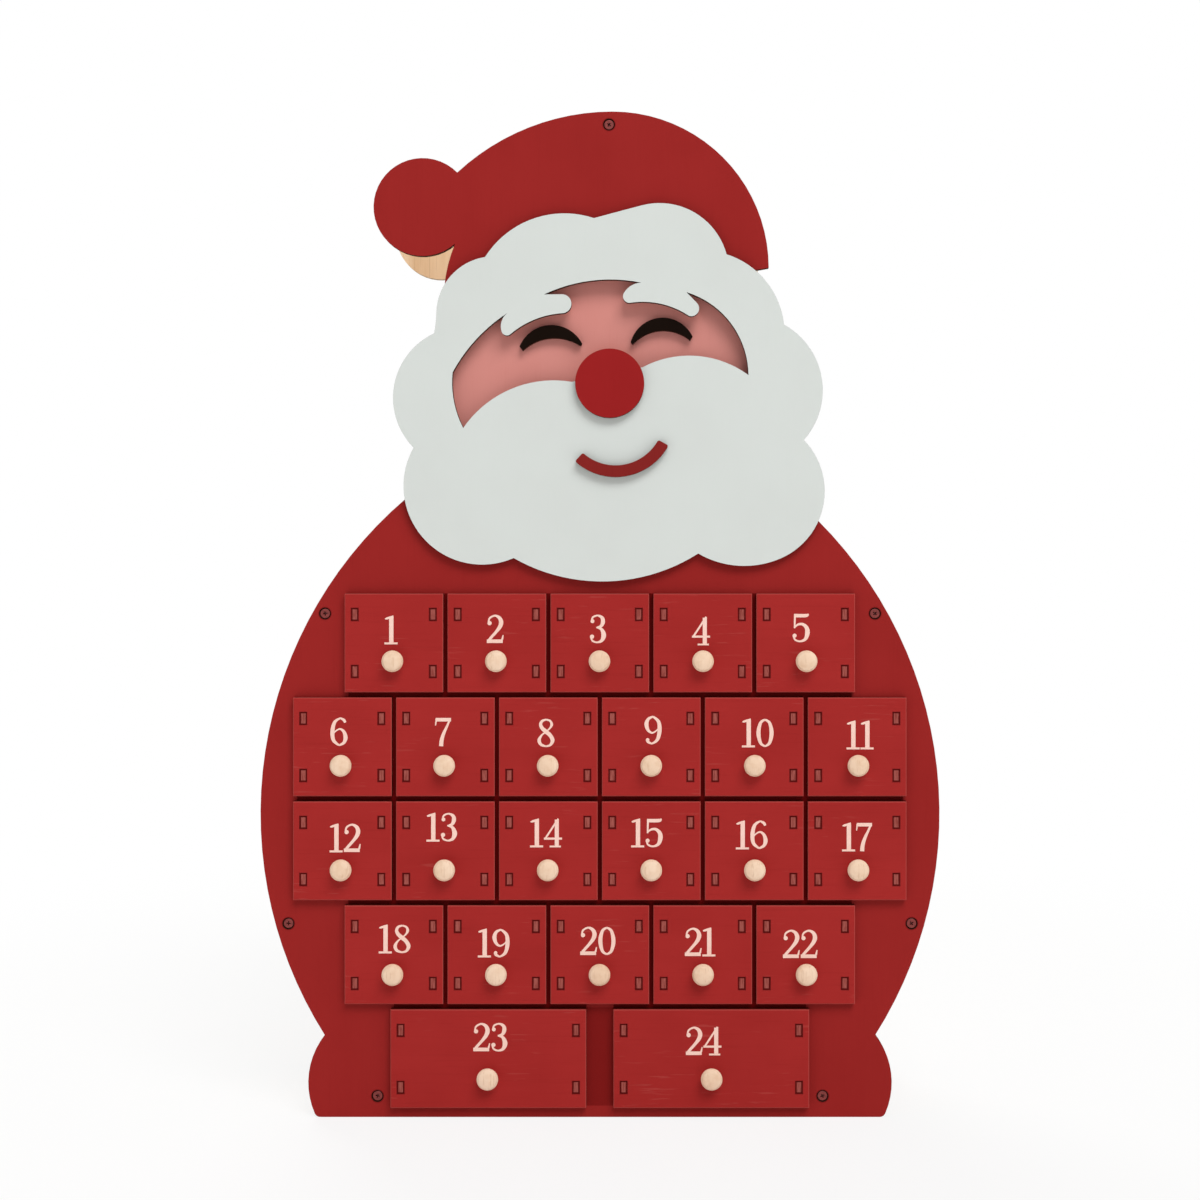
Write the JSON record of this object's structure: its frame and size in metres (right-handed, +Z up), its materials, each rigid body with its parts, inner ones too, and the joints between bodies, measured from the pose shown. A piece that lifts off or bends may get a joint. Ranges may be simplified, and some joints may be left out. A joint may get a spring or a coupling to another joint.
{
  "type": "wooden advent calendar",
  "caption": "Free-standing plywood advent calendar in the outline of a bearded figure in a pompom hat, with rows of small numbered drawers that pull out by turned knobs.",
  "frame": {"origin": "on the floor, under the middle of the whole object's box", "axes": "+Z up, +X to the viewer's right, +Y to the back, so the drawers pull out along -Y"},
  "size_m": [0.2716, 0.0718, 0.4022],
  "materials": {
    "red_paint": "painted plywood, satin",
    "white_paint": "painted plywood, satin",
    "pink_paint": "painted plywood, satin",
    "deep_red_paint": "painted plywood, satin",
    "black_paint": "painted plywood, satin",
    "bare_plywood": "bare, laser cut",
    "turned_wood": "bare, sanded",
    "screw_metal": "dull bronze"
  },
  "bodies": {
    "case": {"front_panel": "red_paint", "back_panel": "bare_plywood", "beard_plate": "white_paint", "face_plate": "pink_paint", "nose": "deep_red_paint", "mouth": "deep_red_paint", "left_eye": "black_paint", "right_eye": "black_paint", "shelves": "bare_plywood", "dividers": "bare_plywood", "posts": "turned_wood", "panel_screws": "screw_metal"},
    "drawer_01": {"drawer_01_box": "red_paint", "drawer_01_knob": "turned_wood"},
    "drawer_02": {"drawer_02_box": "red_paint", "drawer_02_knob": "turned_wood"},
    "drawer_03": {"drawer_03_box": "red_paint", "drawer_03_knob": "turned_wood"},
    "drawer_04": {"drawer_04_box": "red_paint", "drawer_04_knob": "turned_wood"},
    "drawer_05": {"drawer_05_box": "red_paint", "drawer_05_knob": "turned_wood"},
    "drawer_06": {"drawer_06_box": "red_paint", "drawer_06_knob": "turned_wood"},
    "drawer_07": {"drawer_07_box": "red_paint", "drawer_07_knob": "turned_wood"},
    "drawer_08": {"drawer_08_box": "red_paint", "drawer_08_knob": "turned_wood"},
    "drawer_09": {"drawer_09_box": "red_paint", "drawer_09_knob": "turned_wood"},
    "drawer_10": {"drawer_10_box": "red_paint", "drawer_10_knob": "turned_wood"},
    "drawer_11": {"drawer_11_box": "red_paint", "drawer_11_knob": "turned_wood"},
    "drawer_12": {"drawer_12_box": "red_paint", "drawer_12_knob": "turned_wood"},
    "drawer_13": {"drawer_13_box": "red_paint", "drawer_13_knob": "turned_wood"},
    "drawer_14": {"drawer_14_box": "red_paint", "drawer_14_knob": "turned_wood"},
    "drawer_15": {"drawer_15_box": "red_paint", "drawer_15_knob": "turned_wood"},
    "drawer_16": {"drawer_16_box": "red_paint", "drawer_16_knob": "turned_wood"},
    "drawer_17": {"drawer_17_box": "red_paint", "drawer_17_knob": "turned_wood"},
    "drawer_18": {"drawer_18_box": "red_paint", "drawer_18_knob": "turned_wood"},
    "drawer_19": {"drawer_19_box": "red_paint", "drawer_19_knob": "turned_wood"},
    "drawer_20": {"drawer_20_box": "red_paint", "drawer_20_knob": "turned_wood"},
    "drawer_21": {"drawer_21_box": "red_paint", "drawer_21_knob": "turned_wood"},
    "drawer_22": {"drawer_22_box": "red_paint", "drawer_22_knob": "turned_wood"},
    "drawer_23": {"drawer_23_box": "red_paint", "drawer_23_knob": "turned_wood"},
    "drawer_24": {"drawer_24_box": "red_paint", "drawer_24_knob": "turned_wood"}
  },
  "joints": [
    {"name": "drawer_01_slide", "type": "slide", "parent": "case", "child": "drawer_01", "axis": [0, -1, 0], "range_m": [0, 0.05]},
    {"name": "drawer_02_slide", "type": "slide", "parent": "case", "child": "drawer_02", "axis": [0, -1, 0], "range_m": [0, 0.05]},
    {"name": "drawer_03_slide", "type": "slide", "parent": "case", "child": "drawer_03", "axis": [0, -1, 0], "range_m": [0, 0.05]},
    {"name": "drawer_04_slide", "type": "slide", "parent": "case", "child": "drawer_04", "axis": [0, -1, 0], "range_m": [0, 0.05]},
    {"name": "drawer_05_slide", "type": "slide", "parent": "case", "child": "drawer_05", "axis": [0, -1, 0], "range_m": [0, 0.05]},
    {"name": "drawer_06_slide", "type": "slide", "parent": "case", "child": "drawer_06", "axis": [0, -1, 0], "range_m": [0, 0.05]},
    {"name": "drawer_07_slide", "type": "slide", "parent": "case", "child": "drawer_07", "axis": [0, -1, 0], "range_m": [0, 0.05]},
    {"name": "drawer_08_slide", "type": "slide", "parent": "case", "child": "drawer_08", "axis": [0, -1, 0], "range_m": [0, 0.05]},
    {"name": "drawer_09_slide", "type": "slide", "parent": "case", "child": "drawer_09", "axis": [0, -1, 0], "range_m": [0, 0.05]},
    {"name": "drawer_10_slide", "type": "slide", "parent": "case", "child": "drawer_10", "axis": [0, -1, 0], "range_m": [0, 0.05]},
    {"name": "drawer_11_slide", "type": "slide", "parent": "case", "child": "drawer_11", "axis": [0, -1, 0], "range_m": [0, 0.05]},
    {"name": "drawer_12_slide", "type": "slide", "parent": "case", "child": "drawer_12", "axis": [0, -1, 0], "range_m": [0, 0.05]},
    {"name": "drawer_13_slide", "type": "slide", "parent": "case", "child": "drawer_13", "axis": [0, -1, 0], "range_m": [0, 0.05]},
    {"name": "drawer_14_slide", "type": "slide", "parent": "case", "child": "drawer_14", "axis": [0, -1, 0], "range_m": [0, 0.05]},
    {"name": "drawer_15_slide", "type": "slide", "parent": "case", "child": "drawer_15", "axis": [0, -1, 0], "range_m": [0, 0.05]},
    {"name": "drawer_16_slide", "type": "slide", "parent": "case", "child": "drawer_16", "axis": [0, -1, 0], "range_m": [0, 0.05]},
    {"name": "drawer_17_slide", "type": "slide", "parent": "case", "child": "drawer_17", "axis": [0, -1, 0], "range_m": [0, 0.05]},
    {"name": "drawer_18_slide", "type": "slide", "parent": "case", "child": "drawer_18", "axis": [0, -1, 0], "range_m": [0, 0.05]},
    {"name": "drawer_19_slide", "type": "slide", "parent": "case", "child": "drawer_19", "axis": [0, -1, 0], "range_m": [0, 0.05]},
    {"name": "drawer_20_slide", "type": "slide", "parent": "case", "child": "drawer_20", "axis": [0, -1, 0], "range_m": [0, 0.05]},
    {"name": "drawer_21_slide", "type": "slide", "parent": "case", "child": "drawer_21", "axis": [0, -1, 0], "range_m": [0, 0.05]},
    {"name": "drawer_22_slide", "type": "slide", "parent": "case", "child": "drawer_22", "axis": [0, -1, 0], "range_m": [0, 0.05]},
    {"name": "drawer_23_slide", "type": "slide", "parent": "case", "child": "drawer_23", "axis": [0, -1, 0], "range_m": [0, 0.05]},
    {"name": "drawer_24_slide", "type": "slide", "parent": "case", "child": "drawer_24", "axis": [0, -1, 0], "range_m": [0, 0.05]}
  ]
}
